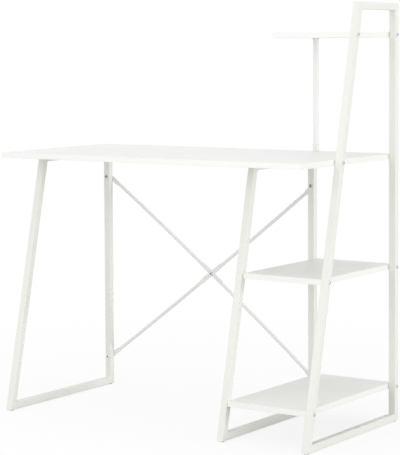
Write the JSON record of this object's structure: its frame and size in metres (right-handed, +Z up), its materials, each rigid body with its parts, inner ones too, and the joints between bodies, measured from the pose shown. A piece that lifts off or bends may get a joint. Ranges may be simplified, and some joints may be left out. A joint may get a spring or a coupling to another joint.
{
  "type": "ladder desk",
  "caption": "White writing desk: long desktop on leaning square-tube frames, with a tall ladder frame and open shelves at its right end.",
  "frame": {"origin": "middle of the desk's footprint, on the floor", "axes": "+Z up, +X along the desktop towards the ladder frame, +Y from the front edge to the back"},
  "size_m": [1.023, 0.5254, 1.17],
  "materials": {
    "white_board": "white melamine-faced chipboard, satin",
    "edge_band": "white glued plastic edge band, satin",
    "frame_paint": "white powder-coated steel tube, satin",
    "zinc_steel": "zinc-plated steel",
    "white_collar": "white moulded plastic",
    "glide_grey": "dark grey moulded plastic"
  },
  "bodies": {
    "root": {"bottom_shelf": "white_board", "bottom_shelf_bolts": "zinc_steel", "bottom_shelf_edge_bands": "edge_band", "bottom_shelf_inserts": "zinc_steel", "brace_crossing_bolt": "zinc_steel", "brace_crossing_nut": "zinc_steel", "brace_end_bolts": "zinc_steel", "brace_end_nuts": "zinc_steel", "brace_falling": "frame_paint", "brace_rising": "frame_paint", "desktop": "white_board", "desktop_bolts": "zinc_steel", "desktop_edge_bands": "edge_band", "desktop_inserts": "zinc_steel", "desktop_rail_bolts": "zinc_steel", "desktop_rail_inserts": "zinc_steel", "floor_glides": "glide_grey", "ladder_foot_rail": "frame_paint", "ladder_front_leg": "frame_paint", "ladder_rear_leg": "frame_paint", "ladder_top_rail": "frame_paint", "left_foot_rail": "frame_paint", "left_front_leg": "frame_paint", "left_rear_leg": "frame_paint", "left_top_rail": "frame_paint", "middle_foot_rail": "frame_paint", "middle_front_leg": "frame_paint", "middle_rear_leg": "frame_paint", "middle_shelf": "white_board", "middle_shelf_bolts": "frame_paint", "middle_shelf_edge_bands": "edge_band", "middle_shelf_inserts": "frame_paint", "middle_top_rail": "frame_paint", "post_base_collar": "white_collar", "post_bolt": "zinc_steel", "post_insert": "zinc_steel", "post_plugs": "white_collar", "post_stud": "zinc_steel", "post_top_collar": "white_collar", "shelf_post": "frame_paint", "top_shelf": "white_board", "top_shelf_bolts": "zinc_steel", "top_shelf_edge_bands": "edge_band", "top_shelf_inserts": "zinc_steel"}
  },
  "joints": []
}
